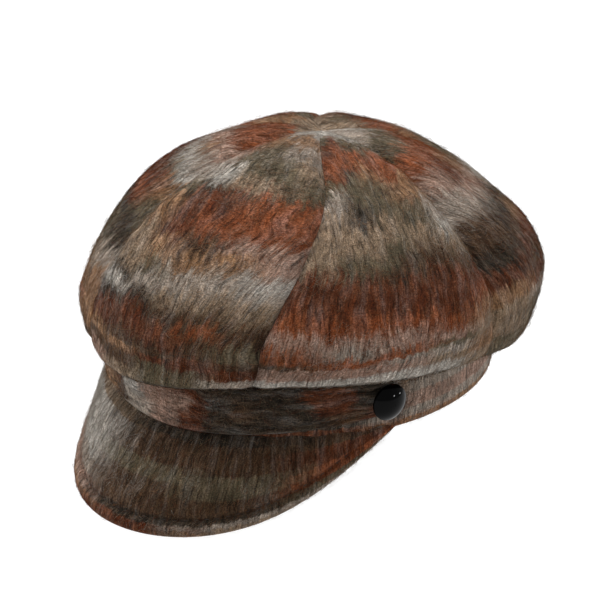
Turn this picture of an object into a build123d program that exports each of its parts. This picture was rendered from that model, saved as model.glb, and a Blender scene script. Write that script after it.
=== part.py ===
from build123d import *
from math import cos, exp, radians, sin
import os

# Newsboy cap, millimetres. +Z is up, -Y is the front (the visor), +X is the wearer's left.
# The origin is the middle of the head opening, in the plane of the headband's lower edge.

# Headband: an oval ring of upright layers. Each layer starts where the one outside it ends.
BAND_HALF_WIDTH = 84.0
BAND_HALF_LENGTH = 107.5
BAND_TOP = 30.2
CLOTH = 2.2
STIFFENER = 0.8
SWEATBAND = 0.9
TURN_UP = 1.5
STIFFENER_TOP = 27.0
SWEATBAND_BOTTOM = 0.5
SWEATBAND_TOP = 31.0

# Crown: six gores from a point near its middle to the headband.
CROWN_HALF_WIDTH = 102.0
CROWN_FRONT = 109.0
CROWN_BACK = 110.0
CROWN_HEIGHT = 107.5
CROWN_MIDDLE_Y = 16.0
CROWN_WIDEST_Z = 46.0
CROWN_WIDEST_TILT = 10.0
CROWN_WIDEST_LEAN = 4.0
CROWN_LOWER_EDGE = 28.0
CROWN_EDGE_GAP = 0.1
CROWN_FULLNESS = 1.75
CROWN_DROOPS = [(-45.0, 20.0, 2.0), (115.0, 35.0, 8.0), (-115.0, 35.0, 6.0)]
CROWN_PUFF = 4.5
PUFF_CENTRE_DROP = 15.0
PUFF_START = 0.35
GORE_TIP = 0.02
GORE_HALF_ANGLE = 30.0
SEAM_SHARE = 0.999
GORE_COLUMNS = 9
GORE_ROWS = 24
NEARBY = 0.001
GORE_NAMES = ["front", "front_left", "back_left", "back", "back_right", "front_right"]

# Lining: six smooth gores inside the crown, sewn to the inner face of the headband cloth.
LINING = 0.4
LINING_GAP = 3.2

# Visor: a sloping crescent of two cloths over a board. Its slope grows from the front to its ends.
VISOR_DEPTH = 51.0
VISOR_ROOT_Z = 2.5
VISOR_SLOPE = 51.0
VISOR_STEEPENING = 31.0
VISOR_STEEPENING_POWER = 2.2
VISOR_ARCH = 10.0
VISOR_END_ANGLE = 70.0
VISOR_ROUNDNESS = 1.05
VISOR_CLOTH = 1.7
VISOR_BOARD = 1.0
VISOR_UNDER_CLOTH = 0.9
VISOR_BOARD_INSET = 3.0
VISOR_CUT_ANGLE = 68.0
BOARD_CUT_ANGLE = 60.0
VISOR_COLUMNS = 12
VISOR_ROWS = 8

# Strap: lies on the front of the headband and ends round each button.
STRAP_BACKING = 1.0
STRAP_CLOTH = 2.0
STRAP_TOP = 26.2
STRAP_FRONT_BOTTOM = 3.0
STRAP_END_RADIUS = 8.7

# Side buttons: domed, each with a flat tab behind it that the sewing thread goes through.
BUTTON_ANGLE = 62.0
BUTTON_Z = 17.5
BUTTON_RADIUS = 8.5
BUTTON_RIM = 1.1
BUTTON_DOME = 3.6
BUTTON_EDGE = 0.4
BUTTON_STAND_OFF = 3.6
TAB_WIDTH = 3.6
TAB_THICKNESS = 1.2
TAB_LENGTH = 2.3
TAB_HOLE_DEPTH = 0.95
TAB_HOLE_RADIUS = 0.7
THREAD_LOOP_RADIUS = 1.2
THREAD_RADIUS = 0.4
STEM_RADIUS = 1.0
STEM_HOLE_RADIUS = 1.3
STEM_END = 0.4

# Stitches: short straight lengths of thread in a row.
STITCH_LENGTH = 3.2
STITCH_PITCH = 4.6
STITCH_RADIUS = 0.3
STITCH_CLEARANCE = 0.35
VISOR_STITCH_INSET = 7.0
VISOR_STITCH_ANGLE = 56.0
STRAP_STITCH_INSET = 2.4
SWEATBAND_STITCH_Z = 3.0

# Label: a blank woven tab on the inside of the sweatband, at the back.
LABEL = 0.7
LABEL_WIDTH = 30.0
LABEL_BOTTOM = 8.0
LABEL_TOP = 25.0

FAR = 200.0


# Headband

def oval(inset):
    """The headband's outer oval, with both half axes made shorter by the inset."""
    return Ellipse(BAND_HALF_WIDTH - inset, BAND_HALF_LENGTH - inset)


def band_layer(inset, thickness, low, high):
    """An upright oval ring between two heights."""
    ring = oval(inset) - oval(inset + thickness)
    return extrude(Pos(0, 0, low) * ring, amount=high - low)


def band_point(angle, out, z):
    """A point near the headband. Angle 0 is the front, and it grows towards +X."""
    a = radians(angle)
    return Vector((BAND_HALF_WIDTH + out) * sin(a), -(BAND_HALF_LENGTH + out) * cos(a), z)


def band_normal(angle):
    """The level direction straight out of the headband."""
    a = radians(angle)
    return Vector(sin(a) / BAND_HALF_WIDTH, -cos(a) / BAND_HALF_LENGTH, 0).normalized()


def headband_cloth():
    wall = band_layer(0, CLOTH, 0, BAND_TOP)
    turned_edge = band_layer(CLOTH, STIFFENER, 0, TURN_UP)
    return wall + turned_edge - button_stems(STEM_HOLE_RADIUS)


def headband_stiffener():
    return band_layer(CLOTH, STIFFENER, TURN_UP, STIFFENER_TOP)


def sweatband():
    return band_layer(CLOTH + STIFFENER, SWEATBAND, SWEATBAND_BOTTOM, SWEATBAND_TOP)


def inner_label():
    layer = band_layer(CLOTH + STIFFENER + SWEATBAND, LABEL, LABEL_BOTTOM, LABEL_TOP)
    return layer & Pos(0, FAR / 2, 0) * Box(LABEL_WIDTH, FAR, FAR)


# Crown and lining

def crown_droop(angle):
    """How far the crown's lower part hangs down. Each droop is an angle, a spread and a depth."""
    total = 0
    for middle, spread, depth in CROWN_DROOPS:
        away = (angle - middle + 180) % 360 - 180
        total += depth * exp(-((away / spread) ** 2))
    return total


def crown_point(angle, run, swell, droop, gap, end_inset, end_z):
    """A point of the crown. Run is 0 at its middle, 1 at its widest and 2 at the headband."""
    a = radians(angle)
    reach = CROWN_FRONT if cos(a) > 0 else CROWN_BACK
    middle = Vector(0, CROWN_MIDDLE_Y, 0)
    widest = Vector((CROWN_HALF_WIDTH - gap) * sin(a), -(reach - gap) * cos(a), 0)
    end = band_point(angle, -end_inset, 0)
    widest_z = CROWN_WIDEST_Z - CROWN_WIDEST_TILT * cos(a) + CROWN_WIDEST_LEAN * sin(a)
    if run < 1:
        out = sin(radians(90 * run)) ** (2 / CROWN_FULLNESS)
        up = cos(radians(90 * run)) ** (2 / CROWN_FULLNESS)
        level = middle * (1 - out) + widest * out
        z = widest_z + (CROWN_HEIGHT - gap - widest_z) * up
        swell = swell * min(1, run / PUFF_START)
    else:
        turned = radians(90 * (run - 1))
        level = end + (widest - end) * cos(turned)
        z = widest_z - (widest_z - end_z) * sin(turned) - droop * sin(2 * turned) ** 2
        swell = swell * cos(turned)
    point = level + Vector(0, 0, z)
    centre = Vector(0, CROWN_MIDDLE_Y / 2, widest_z - PUFF_CENTRE_DROP)
    return point + (point - centre).normalized() * swell


def closed_sheet(outer, inner):
    """The solid between two faces of the same outline."""
    sides = []
    for edge in outer.edges():
        partner = min(inner.edges(), key=lambda other: (other @ 0.5 - edge @ 0.5).length)
        sides.append(Face.make_surface_from_curves(edge, partner))
    return Solid(Shell([outer, inner, *sides]))


def gore(middle_angle, puff, droop_share, gap, end_inset, end_z, thickness):
    """One gore: a thin curved solid whose outer face swells between its two seams."""

    def place(across, run):
        angle = middle_angle + GORE_HALF_ANGLE * across
        swell = puff * (1 - across**2)
        return crown_point(angle, run, swell, droop_share * crown_droop(angle), gap, end_inset, end_z)

    outer = []
    inner = []
    for column in range(GORE_COLUMNS):
        across = SEAM_SHARE * (2 * column / (GORE_COLUMNS - 1) - 1)
        runs = [GORE_TIP + (2 - GORE_TIP) * row / (GORE_ROWS - 1) for row in range(GORE_ROWS)]
        outer.append([place(across, run) for run in runs])
        inner.append([])
        for run in runs:
            round_the_crown = place(across + NEARBY, run) - place(across - NEARBY, run)
            down_the_crown = place(across, run + NEARBY) - place(across, run - NEARBY)
            inwards = round_the_crown.cross(down_the_crown).normalized()
            inner[-1].append(place(across, run) + inwards * thickness)
    return closed_sheet(
        Face.make_surface_from_array_of_points(outer), Face.make_surface_from_array_of_points(inner)
    )


def crown_panel(middle_angle):
    return gore(middle_angle, CROWN_PUFF, 1, 0, -CROWN_EDGE_GAP, CROWN_LOWER_EDGE, CLOTH)


def lining_panel(middle_angle):
    return gore(middle_angle, 0, 0, LINING_GAP, CLOTH, BAND_TOP, LINING)


# Visor

def visor_width(angle):
    """The visor's width along its slope: greatest at the front, nothing at its two ends."""
    return VISOR_DEPTH * cos(radians(90 * angle / VISOR_END_ANGLE)) ** VISOR_ROUNDNESS


def visor_point(angle, reach, depth):
    """A point of the visor, some way down its slope and some depth below its top face."""
    width = visor_width(angle)
    towards_end = abs(sin(radians(90 * angle / VISOR_END_ANGLE))) ** VISOR_STEEPENING_POWER
    steeper = VISOR_STEEPENING * towards_end - VISOR_ARCH * (1 - reach / width)
    slope = radians(VISOR_SLOPE + steeper)
    root = band_point(angle, 0, 0)
    outwards = root.normalized()
    upwards = Vector(0, 0, 1)
    along = outwards * cos(slope) - upwards * sin(slope)
    across = outwards * sin(slope) + upwards * cos(slope)
    return root + upwards * VISOR_ROOT_Z + along * reach - across * depth


def visor_root(angle):
    """A reach inside the headband, where the visor's layers are cut off."""
    return -VISOR_DEPTH / VISOR_ROWS


def board_edge(angle):
    """The reach of the board, which stops short of the cloths' edge."""
    return visor_width(angle) - VISOR_BOARD_INSET


def visor_sheet(top, bottom, near, far, end_angle):
    """A layer of the visor between two depths, from one reach to another."""
    faces = []
    for depth in (top, bottom):
        grid = []
        for column in range(-VISOR_COLUMNS, VISOR_COLUMNS + 1):
            angle = end_angle * column / VISOR_COLUMNS
            step = (far(angle) - near(angle)) / VISOR_ROWS
            grid.append([visor_point(angle, near(angle) + step * row, depth) for row in range(VISOR_ROWS + 1)])
        faces.append(Face.make_surface_from_array_of_points(grid))
    return closed_sheet(*faces)


def visor_layer(top, bottom):
    """A layer of the whole visor, cut off flush with the headband's outer face."""
    sheet = visor_sheet(top, bottom, visor_root, visor_width, VISOR_CUT_ANGLE)
    return sheet - extrude(oval(0), amount=FAR, both=True)


def board_layer():
    return visor_layer(VISOR_CLOTH, VISOR_CLOTH + VISOR_BOARD)


def board_room():
    """The board's outline, taken right through the board's layer."""
    top = VISOR_CLOTH / 2
    bottom = VISOR_CLOTH + VISOR_BOARD + VISOR_UNDER_CLOTH
    return visor_sheet(top, bottom, visor_root, board_edge, BOARD_CUT_ANGLE)


def visor_upper_cloth():
    """The top cloth, and its edge folded in round the board."""
    folded_edge = board_layer() - board_room()
    return Compound(children=[*visor_layer(0, VISOR_CLOTH).solids(), *folded_edge.solids()])


def visor_board():
    return board_layer() & board_room()


def visor_lower_cloth():
    top = VISOR_CLOTH + VISOR_BOARD
    return visor_layer(top, top + VISOR_UNDER_CLOTH)


# Strap

def button_frame(side, out):
    """Where a side button sits: its Z axis points straight out of the headband."""
    place = band_point(side * BUTTON_ANGLE, 0, BUTTON_Z) + band_normal(side * BUTTON_ANGLE) * out
    return Plane(origin=place, x_dir=(0, 0, 1), z_dir=band_normal(side * BUTTON_ANGLE))


def strap_layer(inset, thickness):
    """A layer of the strap between the buttons, with a round end about each of them."""
    ring = band_layer(inset, thickness, STRAP_FRONT_BOTTOM, STRAP_TOP)
    corners = []
    for side in (-1, 1):
        frame = button_frame(side, 0)
        inner = frame.origin - frame.z_dir * STRAP_END_RADIUS
        outer = frame.origin + frame.z_dir * STRAP_END_RADIUS
        corners.append([inner, outer, Vector(outer.X, -FAR)])
    outline = corners[0] + corners[1][::-1]
    between = extrude(make_face(Polyline(*[(p.X, p.Y) for p in outline], close=True)), amount=FAR)
    end = button_frame(1, 0).origin
    rise = BUTTON_Z - STRAP_END_RADIUS
    sweep_line = ThreePointArc((-end.X, rise), (0, STRAP_FRONT_BOTTOM), (end.X, rise))
    above = make_face([sweep_line, Polyline(sweep_line @ 1, (end.X, FAR), (-end.X, FAR), sweep_line @ 0)])
    layer = ring & between & extrude(Plane.XZ * above, amount=FAR)
    for side in (-1, 1):
        rounded = button_frame(side, 0) * Cylinder(STRAP_END_RADIUS, 4 * STRAP_END_RADIUS)
        layer += band_layer(inset, thickness, 0, BAND_TOP) & rounded
    return layer - button_stems(STEM_HOLE_RADIUS)


def strap_backing():
    return strap_layer(-STRAP_BACKING, STRAP_BACKING)


def front_strap():
    return strap_layer(-STRAP_BACKING - STRAP_CLOTH, STRAP_CLOTH)


# Buttons

def back_of_button(side):
    """The frame on a button's flat back."""
    return button_frame(side, STRAP_BACKING + STRAP_CLOTH + BUTTON_STAND_OFF)


def button(side):
    height = BUTTON_RIM + BUTTON_DOME
    ball_radius = (BUTTON_RADIUS**2 + BUTTON_DOME**2) / (2 * BUTTON_DOME)
    disc = Pos(0, 0, height / 2) * Cylinder(BUTTON_RADIUS, height)
    dome = disc & Pos(0, 0, height - ball_radius) * Sphere(ball_radius)
    dome = fillet(dome.edges().filter_by(GeomType.CIRCLE), BUTTON_EDGE)
    tab = Pos(0, 0, -TAB_LENGTH / 2) * Box(TAB_THICKNESS, TAB_WIDTH, TAB_LENGTH)
    hole = Pos(0, 0, -TAB_HOLE_DEPTH) * Rot(0, 90, 0) * Cylinder(TAB_HOLE_RADIUS, 2 * TAB_WIDTH)
    return back_of_button(side) * (dome + tab - hole)


def button_thread(side):
    """A loop through the tab's hole, and the stem that goes into the strap and headband."""
    loop_centre = -TAB_HOLE_DEPTH - THREAD_LOOP_RADIUS
    loop = Pos(0, 0, loop_centre) * Rot(90, 0, 0) * Torus(THREAD_LOOP_RADIUS, THREAD_RADIUS)
    stem_top = loop_centre - THREAD_LOOP_RADIUS
    return back_of_button(side) * (loop + button_stem(stem_top))


def button_stem(top):
    bottom = -BUTTON_STAND_OFF - STRAP_CLOTH - STRAP_BACKING - CLOTH + STEM_END
    return Pos(0, 0, (top + bottom) / 2) * Cylinder(STEM_RADIUS, top - bottom)


def button_stems(radius):
    """Two cylinders on the buttons' axes, to cut the holes that the thread stems pass through."""
    length = 2 * (STRAP_CLOTH + STRAP_BACKING + CLOTH)
    return [button_frame(side, 0) * Cylinder(radius, 2 * length) for side in (-1, 1)]


# Stitching

def stitch(start, end):
    """One straight stitch between two points."""
    along = (end - start).normalized()
    middle = (start + end) / 2
    return Plane(origin=middle, z_dir=along) * Cylinder(STITCH_RADIUS, (end - start).length)


def stitch_row(path):
    """Stitches spaced evenly along a path."""
    count = int(path.length / STITCH_PITCH)
    share = STITCH_LENGTH / path.length
    starts = [(number + 0.2) / count for number in range(count)]
    return [stitch(path @ start, path @ (start + share)) for start in starts]


def visor_stitching():
    """A row on the visor's top face, a little inside its outer edge."""
    row = []
    for step in range(-VISOR_COLUMNS, VISOR_COLUMNS + 1):
        angle = VISOR_STITCH_ANGLE * step / VISOR_COLUMNS
        row.append(visor_point(angle, visor_width(angle) - VISOR_STITCH_INSET, -STITCH_CLEARANCE))
    return Compound(children=stitch_row(Spline(*row)))


def strap_stitching():
    """A row along the strap's upper edge and one along its lower edge."""
    out = STRAP_BACKING + STRAP_CLOTH + STITCH_CLEARANCE
    lift = BUTTON_Z - STRAP_END_RADIUS - STRAP_FRONT_BOTTOM
    end = button_frame(1, 0).origin.X
    upper = []
    lower = []
    for step in range(-6, 7):
        point = band_point(0.95 * BUTTON_ANGLE * step / 6, out, 0)
        upper.append(point + Vector(0, 0, STRAP_TOP - STRAP_STITCH_INSET))
        bottom = STRAP_FRONT_BOTTOM + lift * (point.X / end) ** 2
        lower.append(point + Vector(0, 0, bottom + STRAP_STITCH_INSET))
    return Compound(children=stitch_row(Spline(*upper)) + stitch_row(Spline(*lower)))


def sweatband_stitching():
    """A row round the inside of the sweatband, near its lower edge."""
    inset = CLOTH + STIFFENER + SWEATBAND + STITCH_CLEARANCE
    circuit = [band_point(angle, -inset, SWEATBAND_STITCH_Z) for angle in range(0, 360, 15)]
    return Compound(children=stitch_row(Spline(*circuit, periodic=True)))


nodes = {
    "headband_cloth": headband_cloth(),
    "headband_stiffener": headband_stiffener(),
    "sweatband": sweatband(),
    "sweatband_stitching": sweatband_stitching(),
    "inner_label": inner_label(),
    "visor_upper_cloth": visor_upper_cloth(),
    "visor_board": visor_board(),
    "visor_lower_cloth": visor_lower_cloth(),
    "visor_stitching": visor_stitching(),
    "front_strap": front_strap(),
    "strap_backing": strap_backing(),
    "strap_stitching": strap_stitching(),
    "left_button": button(1),
    "left_button_thread": button_thread(1),
    "right_button": button(-1),
    "right_button_thread": button_thread(-1),
}
for number, name in enumerate(GORE_NAMES):
    nodes[f"crown_panel_{name}"] = crown_panel(2 * GORE_HALF_ANGLE * number)
    nodes[f"lining_panel_{name}"] = lining_panel(2 * GORE_HALF_ANGLE * number)

os.makedirs("parts", exist_ok=True)
for name, solid in nodes.items():
    export_step(solid, f"parts/{name}.step")
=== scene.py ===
from math import cos, pi, radians, sin

import bmesh
import bpy
import numpy as np
from mathutils import Matrix, Vector


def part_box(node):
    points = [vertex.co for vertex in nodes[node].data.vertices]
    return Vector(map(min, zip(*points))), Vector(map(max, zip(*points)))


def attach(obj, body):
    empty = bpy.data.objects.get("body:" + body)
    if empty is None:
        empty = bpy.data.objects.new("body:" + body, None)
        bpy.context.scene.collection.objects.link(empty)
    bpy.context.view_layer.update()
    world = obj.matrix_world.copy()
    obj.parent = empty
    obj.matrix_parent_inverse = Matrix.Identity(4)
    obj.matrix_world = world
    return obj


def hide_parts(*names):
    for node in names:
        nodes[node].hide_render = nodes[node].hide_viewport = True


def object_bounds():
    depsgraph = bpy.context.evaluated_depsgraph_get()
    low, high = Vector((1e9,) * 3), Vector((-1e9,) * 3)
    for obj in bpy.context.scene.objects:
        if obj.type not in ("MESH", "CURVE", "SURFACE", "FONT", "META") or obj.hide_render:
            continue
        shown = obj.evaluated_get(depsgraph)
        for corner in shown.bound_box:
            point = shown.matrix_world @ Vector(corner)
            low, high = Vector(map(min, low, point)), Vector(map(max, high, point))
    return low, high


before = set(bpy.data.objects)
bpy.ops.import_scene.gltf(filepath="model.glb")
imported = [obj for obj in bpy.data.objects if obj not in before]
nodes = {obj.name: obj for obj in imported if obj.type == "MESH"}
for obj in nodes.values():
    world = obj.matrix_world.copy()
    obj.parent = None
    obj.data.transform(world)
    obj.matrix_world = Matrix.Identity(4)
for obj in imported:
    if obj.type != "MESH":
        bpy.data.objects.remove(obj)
CAD_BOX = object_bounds()
rng = np.random.default_rng(11)

# Sizes in metres, and angles round the cap in degrees, from its front towards the wearer's left. The formulas
# for the crown, visor and strap are the CAD part's.
BAND_WIDE, BAND_LONG, BAND_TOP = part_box("headband_cloth")[1]
BAND_THICK = 0.0022
WOOL_THICK = 0.0019
RIBBON_OUTER = -0.0030
RIBBON_INNER = -0.0039
CROWN_WIDE = 0.102
CROWN_FRONT = 0.109
CROWN_BACK = 0.110
CROWN_HEIGHT = 0.1075
CROWN_MIDDLE_Y = 0.016
SEAMS_MEET = (-0.014, 0.021)
WIDEST_Z = 0.046
WIDEST_TILT = 0.010
WIDEST_LEAN = 0.004
CROWN_EDGE_Z = 0.028
FULLNESS = 1.75
PUFF = 0.0040
RUN_LONG = 0.115
GORE_NAMES = ["front", "front_left", "back_left", "back", "back_right", "front_right"]
GORE_TURN = 60.0
STRAP_LOW, STRAP_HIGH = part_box("front_strap")
BUTTON_ANGLE = 62.0
BUTTON_Z = 0.0175
UP = np.array([0, 0, 1.0])

# Dyed wools: (sRGB colour, three wools that stray hairs in it may be).
WOOLS = {
    "taupe": ((0.44, 0.37, 0.30), ("pale", "olive", "tan")),
    "tan": ((0.45, 0.33, 0.23), ("taupe", "pink", "brown")),
    "rust": ((0.43, 0.215, 0.105), ("dark_rust", "brown", "tan")),
    "dark_rust": ((0.29, 0.125, 0.045), ("rust", "charcoal", "brown")),
    "pink": ((0.51, 0.41, 0.36), ("pale", "rust", "taupe")),
    "white": ((0.58, 0.56, 0.53), ("pale", "taupe", "white")),
    "pale": ((0.51, 0.47, 0.43), ("white", "taupe", "pink")),
    "olive": ((0.28, 0.25, 0.19), ("taupe", "charcoal", "tan")),
    "charcoal": ((0.10, 0.08, 0.065), ("olive", "taupe", "dark_rust")),
    "brown": ((0.205, 0.135, 0.085), ("dark_rust", "tan", "olive")),
}


def linear(colour):
    """An sRGB colour as the linear values that a shader takes."""
    return tuple(c / 12.92 if c <= 0.04045 else ((c + 0.055) / 1.055) ** 2.4 for c in colour)


def dye(wool):
    return linear(WOOLS[wool][0])


# -------- shapes

def stack(*parts):
    return np.stack(np.broadcast_arrays(*parts), -1)


def unit(v):
    return v / np.maximum(np.linalg.norm(v, axis=-1, keepdims=True), 1e-12)


def travelled(path):
    """How far along a path each of its points is."""
    return np.concatenate([[0], np.cumsum(np.linalg.norm(np.diff(path, axis=0), axis=-1))])


def rise(value, over):
    """Goes from 0 to 1 as the value goes from 0 to over."""
    return np.clip(value / over, 0, 1)


def hill(value, middle, spread):
    """1 at the middle, fading to 0 away from it."""
    return np.exp(-(((value - middle) / spread) ** 2))


def waves(points, wavelength, seed, count=7):
    """A smooth irregular field, about -1 to 1, over points in space."""
    draw = np.random.default_rng(seed)
    total = 0
    for _ in range(count):
        direction = unit(draw.normal(size=3))
        scale = wavelength * draw.uniform(0.7, 1.5)
        total = total + np.sin(points @ direction * (2 * pi / scale) + draw.uniform(0, 2 * pi))
    return total / count**0.5 / 1.2


def band_point(angle, out, z):
    a = np.radians(angle)
    return stack((BAND_WIDE + out) * np.sin(a), -(BAND_LONG + out) * np.cos(a), z)


def band_normal(angle):
    a = np.radians(angle)
    return unit(stack(np.sin(a) / BAND_WIDE, -np.cos(a) / BAND_LONG, 0 * a))


def near_angle(angle, middle, spread):
    """1 at an angle round the cap, fading to 0 away from it."""
    return hill((angle - middle + 180) % 360 - 180, 0, spread)


# Where the wool hangs down over the strap and headband: (angle, spread in degrees, how far).
DROOPS = [(-15, 35, 0.011), (118, 38, 0.011), (-110, 45, 0.007), (180, 35, 0.005)]


def crown_point(angle, run, swell, gap=0.0, end_inset=0.0, end_z=CROWN_EDGE_Z, drooping=1.0):
    """A point of the crown. Run is 0 at its middle, 1 at its widest and 2 at the headband."""
    angle, run, swell = np.broadcast_arrays(angle, run, swell)
    a = np.radians(angle)
    reach = np.where(np.cos(a) > 0, CROWN_FRONT, CROWN_BACK)
    middle = np.array(SEAMS_MEET)
    widest = stack((CROWN_WIDE - gap) * np.sin(a), -(reach - gap) * np.cos(a))
    end = band_point(angle, -end_inset, 0)[..., :2]
    widest_z = WIDEST_Z - WIDEST_TILT * np.cos(a) + WIDEST_LEAN * np.sin(a)
    upper = np.radians(90 * np.clip(run, 0, 1))
    out = np.sin(upper) ** (2 / FULLNESS)
    up = np.maximum(np.cos(upper), 0) ** (2 / FULLNESS)
    turned = np.radians(90 * np.clip(run - 1, 0, 1))
    hang = drooping * sum(far * near_angle(angle, at, spread) for at, spread, far in DROOPS)
    above = run < 1
    high = middle + (widest - middle) * out[..., None]
    low = end + (widest - end) * np.cos(turned)[..., None]
    level = np.where(above[..., None], high, low)
    z = np.where(
        above,
        widest_z + (CROWN_HEIGHT - gap - widest_z) * up,
        widest_z - (widest_z - end_z) * np.sin(turned) - hang * np.sin(2 * turned) ** 2,
    )
    grow = np.where(above, np.minimum(1, run / 0.35), np.sqrt(np.maximum(np.cos(turned), 0)))
    point = stack(level[..., 0], level[..., 1], z)
    centre = stack(0 * a, 0 * a + CROWN_MIDDLE_Y / 2, widest_z - 0.015)
    return point + unit(point - centre) * (swell * grow)[..., None]


# Hollows, bulges and folds in the crown's wool: (angle, run, height, spread in degrees, spread in run).
CROWN_LUMPS = [
    (-25, 1.20, 0.0034, 34, 0.50),
    (-72, 1.00, -0.0022, 22, 0.30),
    (-60, 0.85, -0.0022, 30, 0.30),
    (20, 1.05, 0.0010, 30, 0.30),
    (118, 1.10, 0.0012, 24, 0.30),
    (150, 0.35, 0.0005, 22, 0.25),
    (122, 0.55, -0.0028, 24, 0.22),
    (-80, 0.60, 0.0026, 26, 0.22),
    (-150, 0.35, 0.0020, 22, 0.25),
    (180, 0.18, -0.0015, 14, 0.16),
    (-25, 0.70, 0.0032, 5.5, 0.35),
    (-37, 0.65, -0.0040, 6.5, 0.35),
    (78, 0.80, 0.0032, 5.5, 0.40),
    (92, 0.80, -0.0046, 7, 0.45),
    (12, 1.42, 0.0036, 52, 0.15),
    (112, 0.75, 0.0016, 9, 0.35),
    (-86, 0.80, -0.0020, 6, 0.35),
    (148, 0.80, -0.0020, 5, 0.35),
    (-148, 0.75, -0.0020, 6, 0.35),
]


def crown_lumps(angle, run):
    total = 0
    for lump_angle, lump_run, height, wide_angle, wide_run in CROWN_LUMPS:
        total = total + height * near_angle(angle, lump_angle, wide_angle) * hill(run, lump_run, wide_run)
    return total


def seam_shift(angle, run):
    """How far the front seam, and one at the back near the top, wander sideways, in degrees."""
    front = 9.5 * hill(run, 0.36, 0.24) - 5.5 * rise(run - 0.65, 0.28)
    back = 18.0 * hill(run, 0.14, 0.16)
    wander = front * near_angle(angle, 30, 22) + back * near_angle(angle, -150, 22)
    return wander * rise(2 - run, 0.4)


def half_width(gore):
    """How wide half of a gore is at each run, and how far down its middle each run is."""
    runs = np.linspace(0, 2, 120)
    down = crown_point(GORE_TURN * gore, runs, PUFF)
    wide = np.linalg.norm(crown_point(GORE_TURN * (gore + 0.5), runs, 0) - down, axis=-1)
    return runs, wide, travelled(down)


GORE_SIZES = [half_width(gore) for gore in range(6)]


def gore_place(gore, u, v):
    """The angle, the run and the distance from the nearer seam at a place on a gore."""
    u, v = np.broadcast_arrays(np.asarray(u, float), np.asarray(v, float))
    runs, wide, _ = GORE_SIZES[gore]
    return GORE_TURN * (gore + u / 2), 2 * v, (1 - np.abs(u)) * np.interp(2 * v, runs, wide)


def dimpled(point, run, depth, spread):
    """The same point, sunk by the dimple where the seams meet."""
    dimple = depth * hill(run * RUN_LONG, 0, spread)
    return point - stack(0 * dimple, 0 * dimple, dimple)


SEAM_DEPTH = 0.0016
SEAM_RIDGE = 0.0006
PUCKER = 0.0006
GATHER = 0.0009
GATHERS_PER_RADIAN = 34


def gore_surface(gore):
    """The function that places a point of one gore's outer face: u is -1 to 1 across, v is 0 to 1 down."""

    def place(u, v):
        angle, run, from_seam = gore_place(gore, u, v)
        angle = angle + seam_shift(angle, run)
        edge_fade = rise(run, 0.25) * rise(2 - run, 0.15)
        base = crown_point(angle, run, 0)
        # The seam's valley, with a low ridge beside it.
        swell = SEAM_RIDGE * hill(from_seam, 0.007, 0.004) - SEAM_DEPTH * hill(from_seam, 0, 0.0022)
        swell = swell + crown_lumps(angle, run)
        # Puckers where the seam's stitches draw the wool in, and soft unevenness everywhere.
        swell = swell + PUCKER * waves(base, 0.011, 40 + gore) * hill(from_seam, 0.004, 0.005)
        swell = swell + 0.0009 * waves(base, 0.055, 1) + 0.0004 * waves(base, 0.020, 2)
        # Soft gathers above the headband.
        gather = np.sin(np.radians(angle) * GATHERS_PER_RADIAN + 2 * waves(base, 0.06, 3))
        gather = gather * rise(run - 1.25, 0.6) * rise(2 - run, 0.2) * (0.6 + 0.4 * waves(base, 0.05, 5))
        swell = swell * edge_fade + GATHER * gather + PUFF * (1 - np.abs(u) ** 2.3)
        return dimpled(crown_point(angle, run, swell), run, 0.0028, 0.012)

    return place


# How far the nap leans sideways on a gore: at its middle, and how much more towards its left seam.
GRAIN_LEAN = {0: (0.04, 0.32)}
LEAN_FROM = 0.065


def gore_cloth(gore, u, v):
    """Flat cloth coordinates of a gore in metres: across from its middle line, and down it."""
    runs, wide, down = GORE_SIZES[gore]
    lean, fan = GRAIN_LEAN.get(gore, (0, 0))
    y = np.interp(2 * v, runs, down)
    past = np.clip(y - LEAN_FROM, -0.03, 0.035)
    return stack(u * np.interp(2 * v, runs, wide) - past * (lean + fan * u), y)


VISOR_DEPTH = 0.0510
VISOR_ROOT_Z = 0.0025
VISOR_END_ANGLE = 70.0
VISOR_SPAN = 68.0
VISOR_EDGE = 0.00145
VISOR_TUCK = 0.001
VISOR_HEM = 0.0022
VISOR_THICK = 0.0016
GROOVE_INSET = 0.0072
GROOVE_DEPTH = 0.0011
BORDER_RISE = 0.0007
VISOR_RADIUS = 0.115


def visor_width(angle):
    return VISOR_DEPTH * np.cos(np.radians(90 * angle / VISOR_END_ANGLE)) ** 1.05


def visor_point(angle, reach, depth):
    """A point of the visor, some way down its slope and some depth below its top face."""
    angle, reach, depth = np.broadcast_arrays(angle, reach, depth)
    towards_end = np.abs(np.sin(np.radians(90 * angle / VISOR_END_ANGLE))) ** 2.2
    slope = np.radians(51 + 31 * towards_end - 10 * (1 - reach / visor_width(angle)))[..., None]
    root = band_point(angle, 0, 0 * angle)
    outwards = unit(root)
    along = outwards * np.cos(slope) - UP * np.sin(slope)
    across = outwards * np.sin(slope) + UP * np.cos(slope)
    return root + UP * VISOR_ROOT_Z + along * reach[..., None] - across * depth[..., None]


def visor_edge(u, v):
    """At a place on the visor: its angle, width, reach, distance from the edge, the edge's radius and curve."""
    angle = VISOR_SPAN * np.asarray(u, float)
    width = visor_width(angle)
    reach = (width + VISOR_TUCK) * v - VISOR_TUCK
    edge = np.maximum(width - reach, 0)
    radius = np.minimum(VISOR_EDGE, 0.45 * width)
    inside = np.clip(1 - edge / radius, 0, 1)
    return angle, width, reach, edge, radius, np.sqrt(np.maximum(1 - inside**2, 0))


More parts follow.
